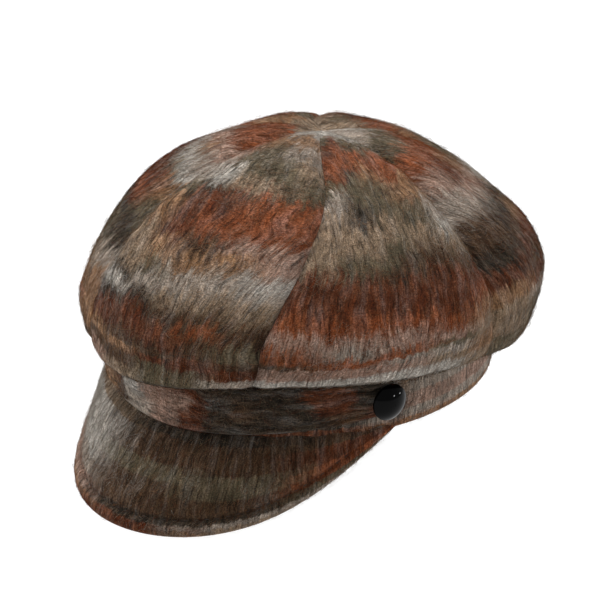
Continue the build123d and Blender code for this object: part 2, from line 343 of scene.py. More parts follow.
def visor_top(u, v):
    """The visor's upper face: u is -1 to 1 across, v is 0 at the headband and 1 at the edge."""
    angle, width, reach, edge, radius, curve = visor_edge(u, v)
    wide_enough = rise(width - 0.010, 0.010)
    groove = GROOVE_DEPTH * hill(edge, GROOVE_INSET, 0.0011) * wide_enough
    border = BORDER_RISE * hill(edge, 0.0035, 0.0022) * wide_enough
    flat = visor_point(angle, reach, 0)
    rest = rise(edge, 0.012) * rise(reach, 0.006)
    lumps = 0.0005 * waves(flat, 0.03, 21) * rest + 0.0003 * waves(flat, 0.010, 22) * (edge > 0.001)
    return visor_point(angle, reach, radius * (1 - curve) + groove - border - lumps)


def visor_under(u, v):
    """The lower side of the visor's upper cloth, with the edge turned under."""
    angle, _, reach, edge, radius, curve = visor_edge(u, v)
    hem = radius * (1 + curve)
    past_hem = rise(edge - VISOR_HEM, 0.0008)
    return visor_point(angle, reach, hem + (VISOR_THICK - hem) * past_hem**2 * (3 - 2 * past_hem))


# -------- meshes

def add_object(name, data):
    thing = bpy.data.objects.new(name, data)
    bpy.context.scene.collection.objects.link(thing)
    return thing


def new_piece(name, mesh, material, node=None):
    """Puts a mesh in the scene as a piece of the cap, instead of a CAD node if one is named."""
    piece = add_object(name, mesh)
    mesh.materials.append(material)
    mesh.polygons.foreach_set("use_smooth", np.ones(len(mesh.polygons), bool))
    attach(piece, "cap")
    if node:
        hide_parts(node)
    return piece


def mesh_from(name, points, faces, uv_maps=None, corners=None):
    """A mesh from points and quads or triangles. The maps give a pair of values for each point. If corners is
    given, its numbers say which pair each corner of a face takes."""
    mesh = bpy.data.meshes.new(name)
    faces = np.asarray(faces)
    mesh.vertices.add(len(points))
    mesh.vertices.foreach_set("co", np.asarray(points, np.float32).ravel())
    mesh.loops.add(faces.size)
    mesh.loops.foreach_set("vertex_index", faces.astype(np.int32).ravel())
    mesh.polygons.add(len(faces))
    mesh.polygons.foreach_set("loop_start", np.arange(0, faces.size, faces.shape[1], dtype=np.int32))
    corners = faces if corners is None else corners
    for uv_name, values in (uv_maps or {}).items():
        layer = mesh.uv_layers.new(name=uv_name)
        layer.data.foreach_set("uv", values[corners.ravel()].astype(np.float32).ravel())
    mesh.update(calc_edges=True)
    mesh.validate()
    return mesh


def quads(index):
    """The quads of a grid of vertex numbers."""
    return stack(index[:-1, :-1], index[:-1, 1:], index[1:, 1:], index[1:, :-1]).reshape(-1, 4)


MERGE = 1e-6


def shell_piece(name, outer, inner, maps, material, node):
    """A closed thin piece between two grids of points, merged where they meet. The maps are grids as well."""
    rows, columns = outer.shape[:2]
    index = np.arange(rows * columns).reshape(rows, columns)
    offset = rows * columns
    rim = np.concatenate([index[0, :], index[1:, -1], index[-1, -2::-1], index[-2:0:-1, 0]])
    after = np.roll(rim, -1)
    faces = np.concatenate([
        quads(index)[:, [0, 3, 2, 1]], quads(index + offset), stack(rim, after, after + offset, rim + offset),
    ])
    points = np.concatenate([outer.reshape(-1, 3), inner.reshape(-1, 3)])
    maps = {key: np.tile(grid.reshape(-1, 2), (2, 1)) for key, grid in maps.items()}
    mesh = mesh_from(name, points, faces, maps)
    working = bmesh.new()
    working.from_mesh(mesh)
    bmesh.ops.remove_doubles(working, verts=working.verts, dist=MERGE)
    bmesh.ops.dissolve_degenerate(working, dist=MERGE / 2, edges=working.edges)
    working.to_mesh(mesh)
    working.free()
    mesh.validate()
    return new_piece(name, mesh, material, node)


def face_normals(place, u, v, step=0.004):
    """Outward unit normals of a surface, and its two stretches: metres per unit of u and of v."""
    across = (place(u + step, v) - place(u - step, v)) / (2 * step)
    down = (place(u, v + step / 2) - place(u, v - step / 2)) / step
    return unit(np.cross(down, across)), across, down


def strands(centres, normals, radius, corners=3, tip=0.55):
    """Closed tapering strands along rows of centre points, as (points, faces)."""
    count, steps = centres.shape[:2]
    forward = unit(np.gradient(centres, axis=1))
    side = unit(np.cross(forward, normals[:, None, :]))
    up = np.cross(side, forward)
    wide = radius[:, None, None] * np.linspace(1.0, tip, steps)[None, :, None]
    turns = [2 * pi * corner / corners for corner in range(corners)]
    rings = np.stack([centres + (side * cos(turn) + up * sin(turn)) * wide for turn in turns], 2)[:, :-1]
    points = np.concatenate([rings.reshape(count, -1, 3), centres[:, -1:]], 1)
    end = points.shape[1] - 1
    last = corners * (steps - 2)
    faces = []
    for corner in range(corners):
        after = (corner + 1) % corners
        for start in range(0, last, corners):
            a, b = start + corner, start + after
            faces += [(a, b, b + corners), (a, b + corners, a + corners)]
        faces.append((last + corner, last + after, end))
    faces += [(0, corner + 1, corner) for corner in range(1, corners - 1)]
    faces = np.array(faces)[None] + (np.arange(count) * (end + 1))[:, None, None]
    return points.reshape(-1, 3), faces.reshape(-1, 3)


def joined(parts):
    """Several (points, faces) as one."""
    offsets = np.cumsum([0] + [len(points) for points, _ in parts[:-1]])
    faces = [faces + offset for (_, faces), offset in zip(parts, offsets)]
    return np.concatenate([points for points, _ in parts]), np.concatenate(faces)


def stitch_row(path, normals, pitch=0.0046, length=0.0030, radius=0.00026, sink=0.0006):
    """Curved stitches along a path of points, each going down into the cloth at both ends."""
    along = travelled(path)
    count = int((along[-1] - length) / pitch)
    starts = (along[-1] - length) * (np.arange(count) + 0.5) / count
    share = np.linspace(0, 1, 8)
    where = starts[:, None] + length * share
    centres = stack(*(np.interp(where, along, path[:, axis]) for axis in range(3)))
    outwards = unit(stack(*(np.interp(where, along, normals[:, axis]) for axis in range(3))))
    height = radius * 0.5 - sink * (1 - np.sin(pi * share) ** 0.5)
    centres = centres + outwards * height[:, None]
    return strands(centres, outwards[:, 4], np.full(count, radius), corners=6, tip=0.9)


def stitching(name, rows, node):
    new_piece(name, mesh_from(name, *joined(rows)), thread, node)


# -------- materials

def put(tree, kind, inputs=None, **settings):
    """Adds a node. An input's value is a constant or another node's output."""
    node = tree.nodes.new(kind)
    for key, value in settings.items():
        setattr(node, key, value)
    for key, value in (inputs or {}).items():
        if isinstance(value, bpy.types.NodeSocket):
            tree.links.new(value, node.inputs[key])
        else:
            node.inputs[key].default_value = value
    return node


def calc(tree, operation, a, b=0.0):
    return put(tree, "ShaderNodeMath", {0: a, 1: b}, operation=operation).outputs[0]


def noise(tree, vector, scale, detail=2.0, roughness=0.5):
    inputs = {"Vector": vector, "Scale": scale, "Detail": detail, "Roughness": roughness}
    return put(tree, "ShaderNodeTexNoise", inputs).outputs[0]


def remap(tree, value, low, high, new_low, new_high):
    inputs = {"Value": value, "From Min": low, "From Max": high, "To Min": new_low, "To Max": new_high}
    return put(tree, "ShaderNodeMapRange", inputs).outputs[0]


def mix(tree, factor, a, b, blend="MIX"):
    return put(tree, "ShaderNodeMix", {0: factor, 6: a, 7: b}, data_type="RGBA", blend_type=blend).outputs[2]


def ramp(tree, factor, stops):
    node = put(tree, "ShaderNodeValToRGB", {"Fac": factor})
    elements = node.color_ramp.elements
    elements.remove(elements[0])
    elements[0].position = stops[0][0]
    elements[0].color = (*stops[0][1], 1)
    for position, colour in stops[1:]:
        elements.new(position).color = (*colour, 1)
    return node.outputs[0]


def uv_map(tree, name):
    return put(tree, "ShaderNodeUVMap", uv_map=name).outputs[0]


def blank_material(name, **sockets):
    """A new material with some shader inputs set, each named with _ for a space."""
    material = bpy.data.materials.new(name)
    material.use_nodes = True
    shader = material.node_tree.nodes["Principled BSDF"]
    for key, value in sockets.items():
        shader.inputs[key.replace("_", " ")].default_value = value
    return material, material.node_tree, shader


def bump(tree, shader, height, distance, strength=1.0):
    node = put(tree, "ShaderNodeBump", {"Height": height, "Distance": distance, "Strength": strength})
    tree.links.new(node.outputs[0], shader.inputs["Normal"])


def uneven_dye(tree, shader, tone, low, high, colour, contrast):
    """Colours a shader from darker to lighter as tone goes from low to high."""
    dark = [c * (1 - contrast) for c in linear(colour)]
    light = [min(1, c * (1 + contrast)) for c in linear(colour)]
    tree.links.new(ramp(tree, tone, [(low, dark), (high, light)]), shader.inputs["Base Color"])


SOFT_EDGE = 0.008


def band_stops(bands):
    """Colour ramp stops with soft edges, for bands given as (where it starts, wool)."""
    stops = [(0.0, dye(bands[0][1]))]
    for (_, before), (start, wool) in zip(bands, bands[1:]):
        stops += [(start - SOFT_EDGE, dye(before)), (start + SOFT_EDGE, dye(wool))]
    return stops


SWAY = 0.007
STRAY_STOPS = [(0.30, "charcoal"), (0.42, "olive"), (0.50, "taupe"), (0.60, "pale"), (0.70, "white")]
STRAY_SHARE = 0.18


def wool_material(name, sides, seed):
    """Brushed plaid wool. sides holds the bands of each strip of the piece, from its left to its right."""
    material, tree, shader = blank_material(
        name, Roughness=0.95, Specular_IOR_Level=0.05, Sheen_Weight=0.08, Sheen_Roughness=0.5
    )
    shift = {0: uv_map(tree, "cloth"), 1: (seed * 0.37, seed * 0.73, 0)}
    place = put(tree, "ShaderNodeVectorMath", shift, operation="ADD").outputs[0]
    swaying = put(tree, "ShaderNodeTexNoise", {"Vector": place, "Scale": 55.0, "Detail": 1.0}).outputs["Color"]
    sway = {0: swaying, 1: (SWAY, 0.0, 0.0), 2: place}
    swayed = put(tree, "ShaderNodeVectorMath", sway, operation="MULTIPLY_ADD").outputs[0]

    def combed(squeeze, scale, detail=2.0, roughness=0.6):
        """Noise drawn out along the nap."""
        drawn = put(tree, "ShaderNodeVectorMath", {0: swayed, 1: (1.0, squeeze, 1.0)}, operation="MULTIPLY")
        return noise(tree, drawn.outputs[0], scale, detail, roughness)

    def swung(value, by, amount):
        """A value moved either way by a noise."""
        return calc(tree, "ADD", value, calc(tree, "MULTIPLY", calc(tree, "SUBTRACT", by, 0.5), amount))

    locks = combed(0.16, 400.0, 3.0)
    cracks = combed(0.13, 800.0)
    hairs = combed(0.10, 1700.0)
    clumps = combed(0.35, 85.0, 2.0, 0.5)
    fuzz = noise(tree, swayed, 1300.0, 2.0, 0.7)
    parts = put(tree, "ShaderNodeSeparateXYZ", {0: uv_map(tree, "bands")})
    along = swung(swung(parts.outputs[1], locks, 0.09), clumps, 0.07)
    across = swung(parts.outputs[0], clumps, 0.22)
    count = len(sides)
    colour = ramp(tree, along, band_stops(sides[0]))
    for side in range(1, count):
        border = remap(tree, across, (side - 0.3) / count, (side + 0.3) / count, 0, 1)
        colour = mix(tree, border, colour, ramp(tree, along, band_stops(sides[side])))
    # Dyed locks that stray from the band's own colour.
    stray = ramp(tree, combed(0.16, 260.0), [(at, dye(wool)) for at, wool in STRAY_STOPS])
    colour = mix(tree, STRAY_SHARE, colour, stray)
    shade = remap(tree, locks, 0.30, 0.70, 0.55, 1.45)
    shade = calc(tree, "MULTIPLY", shade, remap(tree, cracks, 0.34, 0.47, 0.35, 1.10))
    shade = calc(tree, "MULTIPLY", shade, remap(tree, hairs, 0.3, 0.7, 0.65, 1.40))
    shade = calc(tree, "MULTIPLY", shade, remap(tree, fuzz, 0.3, 0.7, 0.38, 1.58))
    grey = put(tree, "ShaderNodeCombineColor", {0: shade, 1: shade, 2: shade}).outputs[0]
    tree.links.new(mix(tree, 1.0, colour, grey, "MULTIPLY"), shader.inputs["Base Color"])
    height = calc(tree, "ADD", locks, calc(tree, "MULTIPLY", calc(tree, "ADD", hairs, fuzz), 0.5))
    bump(tree, shader, height, 0.0008, 0.8)
    return material


def simple_material(name, colour, roughness, grain, grain_scale, distance, **sockets):
    """A plain material with a fine grain in its colour and bump."""
    material, tree, shader = blank_material(name, Roughness=roughness, **sockets)
    spots = noise(tree, put(tree, "ShaderNodeTexCoord").outputs["Object"], grain_scale, 3.0, 0.6)
    uneven_dye(tree, shader, spots, 0.3, 0.7, colour, grain)
    bump(tree, shader, spots, distance)
    return material


def woven_material(name, colour, spacing, roughness, contrast, **sockets):
    """A plain weave: threads that cross at a spacing, in metres, with slubs and uneven dye."""
    material, tree, shader = blank_material(name, Roughness=roughness, **sockets)
    cloth = uv_map(tree, "cloth")
    parts = put(tree, "ShaderNodeSeparateXYZ", {0: cloth})
    threads = [
        calc(tree, "SINE", calc(tree, "MULTIPLY", parts.outputs[axis], 2 * pi / spacing)) for axis in (0, 1)
    ]
    slubs = noise(tree, cloth, 0.25 / spacing, 3.0, 0.6)
    dye = noise(tree, cloth, 40.0, 2.0, 0.5)
    weave = calc(tree, "MULTIPLY", *threads)
    height = calc(tree, "ADD", calc(tree, "MULTIPLY", weave, 0.25), slubs)
    tone = calc(tree, "ADD", calc(tree, "MULTIPLY", height, 0.7), calc(tree, "MULTIPLY", dye, 0.3))
    uneven_dye(tree, shader, tone, 0.25, 0.75, colour, contrast)
    bump(tree, shader, height, spacing * 0.3, 0.8)
    return material


# -------- plaid

# Bands of wool down each gore, in strips from its left to its right. Each strip starts with a wool, and each
# number after that is the run where the next wool starts. The charcoal that ends the strips of the front and
# front-left gores, from about run 1.44, is painted shade on the underside of the crown's lower edge, not a
# stripe of the wool.
GORE_BANDS = [
    [
        # Front gore: the last band of each strip, charcoal, is painted shade under the crown's lower edge.
        "white .12 rust .26 pink .34 pale .42 olive .48 tan .58 taupe .72 charcoal .76 white .82 charcoal "
        ".88 dark_rust .98 tan 1.15 brown 1.25 pink 1.46 charcoal",
        "white .12 tan .24 olive .34 white .42 charcoal .46 dark_rust .62 tan .68 olive .73 pale .78 charcoal "
        ".84 dark_rust .95 brown 1.08 tan 1.18 brown 1.3 taupe 1.45 charcoal",
        "white .12 tan .2 olive .36 taupe .43 dark_rust .52 rust .57 brown .63 tan .69 pale .77 taupe "
        ".81 brown .88 dark_rust .98 brown 1.12 dark_rust 1.2 olive 1.44 charcoal",
        "white .1 tan .2 pale .27 olive .36 taupe .42 rust .56 pink .61 tan .66 pale .73 taupe .8 brown "
        ".86 rust .92 brown 1.02 dark_rust 1.22 olive 1.44 charcoal",
        "white .12 tan .2 pale .27 taupe .35 olive .42 rust .57 pink .66 white .72 pale .77 taupe .83 brown "
        ".92 olive 1 brown 1.15 dark_rust 1.32 pale 1.46 charcoal",
    ],
    [
        # Front-left gore: the last charcoal band of its first four strips is painted shade under the crown's
        # lower edge.
        "white .1 olive .18 dark_rust .24 rust .34 olive .4 pale .46 taupe .66 dark_rust .79 rust .87 pink "
        ".92 rust 1 brown 1.1 pink 1.32 white 1.46 charcoal",
        "white .12 dark_rust .18 rust .3 charcoal .34 olive .44 charcoal .5 taupe .6 olive .67 dark_rust "
        ".8 rust .86 pink .91 pale .97 rust 1.1 pink 1.3 white 1.47 charcoal",
        "white .14 olive .22 rust .31 tan .36 olive .48 taupe .55 olive .64 brown .7 dark_rust .82 rust "
        ".88 pink .96 rust 1.04 pale 1.12 pink 1.27 white 1.49 charcoal",
        "white .16 olive .24 rust .36 tan .44 olive .54 taupe .61 brown .68 dark_rust .84 rust .93 pink "
        ".99 olive 1.08 pale 1.2 taupe 1.3 white 1.5 charcoal",
        "white .18 olive .26 rust .36 tan .46 pale .54 white .6 taupe .66 brown .73 dark_rust .8 rust .86 tan "
        ".95 taupe 1.1 tan 1.3 taupe",
    ],
    [
        "pale .18 olive .28 rust .38 pink .46 pale .58 brown .7 charcoal .8 dark_rust .9 tan 1 taupe "
        "1.3 olive",
        "pale .16 olive .28 rust .36 dark_rust .46 pink .54 pale .58 charcoal .66 brown .74 dark_rust "
        ".8 brown .9 dark_rust .98 pale 1.1 olive 1.3 taupe",
        "white .14 olive .23 rust .38 tan .46 pink .57 charcoal .66 tan .74 dark_rust .86 brown .98 pale "
        "1.15 olive 1.4 taupe",
        "taupe .22 rust .4 taupe .5 white .6 olive .7 dark_rust .88 taupe 1 pale 1.2 rust 1.4 olive",
    ],
    [
        "taupe .16 rust .3 tan .4 olive .58 white .68 charcoal .82 rust 1 pink 1.15 taupe 1.5 brown",
        "taupe .18 rust .32 pale .42 olive .56 charcoal .66 taupe .8 dark_rust .98 white 1.1 taupe 1.5 rust",
        "taupe .12 olive .22 dark_rust .36 taupe .5 pale .6 brown .74 rust .9 pink 1.02 olive 1.3 tan",
        "taupe .18 pink .34 olive .55 white .64 taupe .78 rust 1 tan 1.2 olive",
    ],
    [
        "taupe .14 olive .3 rust .48 pale .58 charcoal .72 taupe .86 rust 1.05 pale 1.3 brown",
        "taupe .14 olive .28 rust .46 white .54 olive .72 charcoal .84 dark_rust 1.02 tan 1.2 pale 1.5 olive",
        "taupe .12 tan .26 dark_rust .42 olive .52 pale .64 brown .8 rust .98 taupe 1.2 brown",
        "taupe .16 tan .3 rust .46 taupe .6 olive .76 rust .96 white 1.1 taupe 1.4 rust",
    ],
    [
        "taupe .12 rust .25 pale .38 dark_rust .58 charcoal .74 taupe .86 rust 1.02 tan 1.3 taupe",
        "taupe .1 rust .28 pink .36 white .44 dark_rust .56 rust .6 charcoal .7 olive .8 taupe .9 tan "
        "1.02 rust 1.15 tan 1.4 taupe",
        "taupe .1 rust .28 pink .34 tan .38 white .44 olive .48 dark_rust .56 rust .62 charcoal .68 olive "
        ".78 taupe .88 tan 1 rust 1.15 tan 1.4 taupe",
        "taupe .12 rust .28 pink .36 pale .42 white .47 tan .56 olive .66 charcoal .76 pale .85 tan 1.05 tan "
        "1.3 brown",
    ],
]
# Bands across the visor, in strips from the wearer's right to left. The white and pink of the first two strips
# are partly the plaid and partly painted light from the side of the left softbox. The charcoal, brown and olive
# of the middle strips are partly the plaid and partly painted shade under the crown.
VISOR_BANDS = [
    "brown .15 white .66 pink .86 tan .93 rust",
    "taupe .18 white .68 pale .8 pink .92 tan .96 rust",
    "charcoal .16 brown .4 olive .55 brown .84 charcoal .92 dark_rust",
    "charcoal .16 brown .46 olive .68 brown .84 charcoal .91 pale .96 taupe",
    "brown .25 dark_rust .55 rust .8 olive .92 pale",
]
STRAP_BANDS = [
    "taupe .22 tan .34 brown .38 pale .47 pink .53 dark_rust .6 charcoal .84 brown .92 dark_rust",
    "taupe .2 tan .32 dark_rust .36 white .44 pink .56 dark_rust .6 charcoal .66 brown .71 charcoal "
    ".82 dark_rust .9 charcoal",
    "taupe .22 rust .36 pale .46 pink .51 dark_rust .58 charcoal .8 dark_rust .9 charcoal",
]
# Bands down the headband, in strips round it from the front towards the wearer's left. The dark brown, charcoal
# and dark rust of the first and last strips, either side of the front where the headband shows below the strap,
# are painted shade under the strap.
HEADBAND_BANDS = [
    "brown .5 charcoal .85 dark_rust",
    "taupe .3 pale .5 pink .75 pale .9 tan",
    "taupe .4 brown .7 pale",
    "taupe .35 rust .6 taupe .8 olive",
    "brown .4 dark_rust .7 brown",
]


def read_bands(text, unit_run=1):
    """Bands as (where it starts, wool) from a text like "white .12 tan", with the whole piece unit_run long."""
    words = text.split()
    starts = [float(start) / unit_run for start in words[1::2]]
    return list(zip([0.0] + starts, words[::2]))


GORE_SIDES = [[read_bands(text, 2) for text in strips] for strips in GORE_BANDS]
VISOR_SIDES = [read_bands(text) for text in VISOR_BANDS]
STRAP_SIDES = [read_bands(text) for text in STRAP_BANDS]
HEADBAND_SIDES = [read_bands(text) for text in HEADBAND_BANDS]


# -------- crown

def declare_cut(piece, place):
    """Measures a gore's middle line, its half widths and its steps down it, and does nothing with them. A gore
    tapers to both ends, so its area is less than a rectangle's.
    """
    v = np.linspace(0, 1, 60)
    middle = place(0 * v, v)
    half_wide = np.linalg.norm(place(0 * v + 1, v) - middle, axis=-1)
    down = np.linalg.norm(np.diff(middle, axis=0), axis=-1)


def band_map(u, v):
    """Where each place on a piece is in its strips and bands of wool, both 0 to 1."""
    return stack(u / 2 + 0.5, v)


def steps_closer_to_ends(count, share):
    """Steps from -1 to 1 that are closer together at both ends, the more so the bigger the share."""
    return share * np.sin(np.linspace(-pi / 2, pi / 2, count)) + (1 - share) * np.linspace(-1, 1, count)


def sew_gore(name, gore, place, grid, thick, maps, material, node):
    """One gore of the crown or of its lining."""
    outer = place(*grid)
    normal, _, _ = face_normals(place, np.clip(grid[0], -0.996, 0.996), np.clip(grid[1], 0.004, 0.996))
    maps = {"cloth": gore_cloth(gore, *grid), **maps}
    declare_cut(shell_piece(name, outer, outer - normal * thick, maps, material, node), place)


grid = np.meshgrid(steps_closer_to_ends(97, 0.5), np.linspace(0, 1, 190) ** 1.05)
maps = {"bands": band_map(*grid)}
for gore, gore_name in enumerate(GORE_NAMES):
    wool = wool_material("plaid_gore_" + gore_name, GORE_SIDES[gore], gore + 1)
    node = "crown_panel_" + gore_name
    sew_gore("gore_" + gore_name, gore, gore_surface(gore), grid, WOOL_THICK, maps, wool, node)


# -------- visor

UNDER_SPAN = 66.0
UNDER_HALF = 0.00042
UNDER_MIDDLE = 0.00345
UNDER_INSET = 0.0013


def visor_under_cloth(side, u, v):
    """A face of the cloth under the visor: side is -1 for its upper face, 1 for its lower."""
    angle = UNDER_SPAN * u
    width = visor_width(angle) - UNDER_INSET
    reach = (width + VISOR_TUCK) * v - VISOR_TUCK
    inside = np.clip(1 - (width - reach) / UNDER_HALF, 0, 1)
    half = UNDER_HALF * np.sqrt(np.maximum(1 - inside**2, 0))
    flat = visor_point(angle, reach, UNDER_MIDDLE)
    ripple = 0.0002 * waves(flat, 0.012, 23) + 0.0002 * waves(flat, 0.04, 24)
    return visor_point(angle, reach, UNDER_MIDDLE + side * half + np.clip(side, 0, 1) * ripple)


grid = np.meshgrid(steps_closer_to_ends(181, 0.35), 1 - (1 - np.linspace(0, 1, 90)) ** 1.6)
angle = VISOR_SPAN * grid[0]
visor_maps = {
    "cloth": stack(np.radians(angle) * VISOR_RADIUS, visor_width(angle) * grid[1]), "bands": band_map(*grid)
}
shell_piece(
    "visor_cloth", visor_top(*grid), visor_under(*grid), visor_maps,
    wool_material("plaid_visor", VISOR_SIDES, 9), "visor_upper_cloth",
)
shell_piece(
    "visor_under_wool", visor_under_cloth(-1, *grid), visor_under_cloth(1, *grid), visor_maps,
    wool_material("plaid_visor_under", VISOR_SIDES[::-1], 21), "visor_lower_cloth",
)

thread = simple_material("sewing_thread", (0.17, 0.13, 0.10), 0.7, 0.5, 3000, 0.00005)
angle = np.linspace(-55, 55, 400)
groove = angle / VISOR_SPAN, 1 - GROOVE_INSET / (visor_width(angle) + VISOR_TUCK)
normal, _, _ = face_normals(visor_top, *groove)
stitching("visor_stitches", [stitch_row(visor_top(*groove), normal, sink=0.0007)], "visor_stitching")


# -------- headband, sweatband, label

RING_RADIUS = 0.096


def swept_ring(name, profile, steps, material, node, ripple=None):
    """A closed skin swept round the headband. The profile is a closed loop of (out, z), and the ripple says
    how far out its points move at an angle."""
    profile = np.array(profile)
    rings = []
    for angle in np.arange(steps) * 360 / steps:
        out = profile[:, 0] + (ripple(angle, profile) if ripple else 0)
        rings.append(band_point(angle, 0.0, 0.0) + band_normal(angle) * out[:, None] + UP * profile[:, 1:])
    around = len(profile)
    index = np.arange(steps * around).reshape(steps, around)
    faces = quads(index[np.arange(steps + 1) % steps][:, np.arange(around + 1) % around])
    corners = quads(np.arange((steps + 1) * (around + 1)).reshape(steps + 1, around + 1))
    along = travelled(np.vstack([profile, profile[:1]]))
    round_way = np.linspace(0, 2 * pi * RING_RADIUS, steps + 1)[:, None]
    down = 1 - np.append(profile[:, 1], profile[0, 1]) / BAND_TOP
    maps = {
        "cloth": stack(round_way, along).reshape(-1, 2),
        "bands": stack(round_way / round_way[-1], down).reshape(-1, 2),
    }
    mesh = mesh_from(name, np.array(rings).reshape(-1, 3), faces, maps, corners)
    new_piece(name, mesh, material, node)


def rounded(corners, radius, steps, longest):
    """The closed outline through corners, each rounded in steps, with its long sides cut up."""
    corners = [np.array(c, float) for c in corners]
    outline = []
    for before, corner, after in zip(corners[-1:] + corners[:-1], corners, corners[1:] + corners[:1]):
        back = unit(before - corner) * min(radius, 0.45 * np.linalg.norm(before - corner))
        ahead = unit(after - corner) * min(radius, 0.45 * np.linalg.norm(after - corner))
        outline += [corner + back * (1 - t) ** 2 + ahead * t**2 for t in np.linspace(0, 1, steps + 1)]
    result = []
    for a, b in zip(outline, outline[1:] + outline[:1]):
        count = max(1, int(np.linalg.norm(b - a) / longest))
        result += [a + (b - a) * i / count for i in range(count)]
    return result


swept_ring(
    "headband_wool",
    rounded(
        [(0, 0), (RIBBON_OUTER, 0), (RIBBON_OUTER, 0.0015), (-BAND_THICK, 0.0016), (-BAND_THICK, BAND_TOP),
         (0, BAND_TOP)],
        0.0009, 4, 0.002,
    ),
    360, wool_material("plaid_headband", HEADBAND_SIDES, 12), "headband_cloth",
)

RIBBON_LOW = 0.0005
RIBBON_TOP = 0.0310
RIB_COUNT = 420
RIB = 0.00010
RIB_FACE = -0.0036


def ribs(angle, profile):
    """The ribs on the ribbon's inner face."""
    return np.where(profile[:, 0] < RIB_FACE, -RIB * (0.5 - 0.5 * cos(radians(angle) * RIB_COUNT)), 0)


swept_ring(
    "sweatband_ribbon",
    rounded(
        [(RIBBON_OUTER, RIBBON_LOW), (RIBBON_INNER, RIBBON_LOW), (RIBBON_INNER, RIBBON_TOP),
         (RIBBON_OUTER, RIBBON_TOP)],
        0.0004, 3, 0.003,
    ),
    RIB_COUNT * 4, woven_material("sweatband_ribbon", (0.17, 0.15, 0.14), 0.0005, 0.6, 0.35), "sweatband",
    ribs,
)
circuit = np.linspace(0, 360, 1200)
path = band_point(circuit, 0.0, 0.0030) + band_normal(circuit) * (RIBBON_INNER - RIB)
stitching("sweatband_stitches", [stitch_row(path, -band_normal(circuit))], "sweatband_stitching")

LABEL_HALF = 0.015
LABEL_LOW = 0.0080
LABEL_TALL = 0.0170


def label_face(out, u, v):
    angle = 180 + np.degrees(u * LABEL_HALF / BAND_WIDE)
    return band_point(angle, 0, LABEL_LOW + LABEL_TALL * v) + band_normal(angle) * np.expand_dims(out, -1)


grid = np.meshgrid(np.linspace(-1, 1, 81), np.linspace(0, 1, 41))
puffed = 0.0003 * (1 - grid[0] ** 2) * np.sin(pi * grid[1])
folded = 0.0002 * rise(np.abs(grid[0]) - 0.86, 0.04)
shell_piece(
    "blank_label",
    label_face(RIBBON_INNER - RIB - 0.0005 - (puffed + folded), *grid),
    label_face(RIBBON_INNER - RIB - 0.0001, *grid),
    {"cloth": stack(grid[0] * LABEL_HALF, grid[1] * LABEL_TALL)},
    woven_material("label_tape", (0.84, 0.82, 0.76), 0.0006, 0.8, 0.12), "inner_label",
)


# -------- lining

LINING_GAP = 0.0062
LINING_THICK = 0.0004
PLEATS_PER_RADIAN = 54
satin = woven_material("lining_satin", (0.19, 0.145, 0.12), 0.0004, 0.38, 0.25, Sheen_Weight=0.15)


def lining_surface(gore):
    """The function that places a point of one gore of the lining, which hangs loosely in the crown."""

    def place(u, v):
        angle, run, from_seam = gore_place(gore, u, v)
        hung = {"gap": LINING_GAP, "end_inset": BAND_THICK, "end_z": BAND_TOP, "drooping": 0.0}
        flat = crown_point(angle, run, 0, **hung)
        creases = 0.0005 * waves(flat, 0.020, 60 + gore) + 0.0006 * waves(flat, 0.050, 70) - 0.0011
        pleats = 0.5 + 0.5 * np.sin(np.radians(angle) * PLEATS_PER_RADIAN + 2 * waves(flat, 0.05, 7))
        seam = -0.0010 * hill(from_seam, 0, 0.0016)
        swell = crown_lumps(angle, run) + creases - 0.0010 * pleats * rise(run - 1.1, 0.6) + seam
        swell = swell * rise(run, 0.25) * rise(2 - run, 0.2)
        return dimpled(crown_point(angle, run, swell, **hung), run, 0.0032, 0.016)

    return place


grid = np.meshgrid(np.linspace(-1, 1, 81), np.linspace(0, 1, 140))
for gore, gore_name in enumerate(GORE_NAMES):
    name, node = "lining_" + gore_name, "lining_panel_" + gore_name
    sew_gore(name, gore, lining_surface(gore), grid, LINING_THICK, {}, satin, node)


# -------- strap

STRAP_REACH = 0.0087
STRAP_SAG = 0.0020
STRAP_BOTTOM = STRAP_LOW.z - STRAP_SAG
STRAP_TURN = np.degrees(STRAP_REACH / 0.0925)
STRAP_SEAM_INSET = 0.0032
STRAP_LIP = 0.0016
STRAP_OUT = 0.0012
STRAP_THICK = 0.0017
STRAP_HALF = 0.0105
STRAP_LONG = 0.225


def strap_section(v):
    """The strap's angle, middle height and half height at a place along it, 0 to 1."""
    angle = (2 * np.asarray(v, float) - 1) * (BUTTON_ANGLE + STRAP_TURN)
    x_share = np.sin(np.radians(angle)) / sin(radians(BUTTON_ANGLE))
    bottom = STRAP_BOTTOM + (BUTTON_Z - STRAP_REACH - STRAP_BOTTOM) * np.clip(np.abs(x_share), 0, 1) ** 1.7
    past = rise(np.abs(angle) - BUTTON_ANGLE, STRAP_TURN)
    share = np.sqrt(np.maximum(1 - past**2, 0))
    bottom = BUTTON_Z + (bottom - BUTTON_Z) * share
    top = BUTTON_Z + (STRAP_HIGH.z - BUTTON_Z) * share
    return angle, (top + bottom) / 2, (top - bottom) / 2


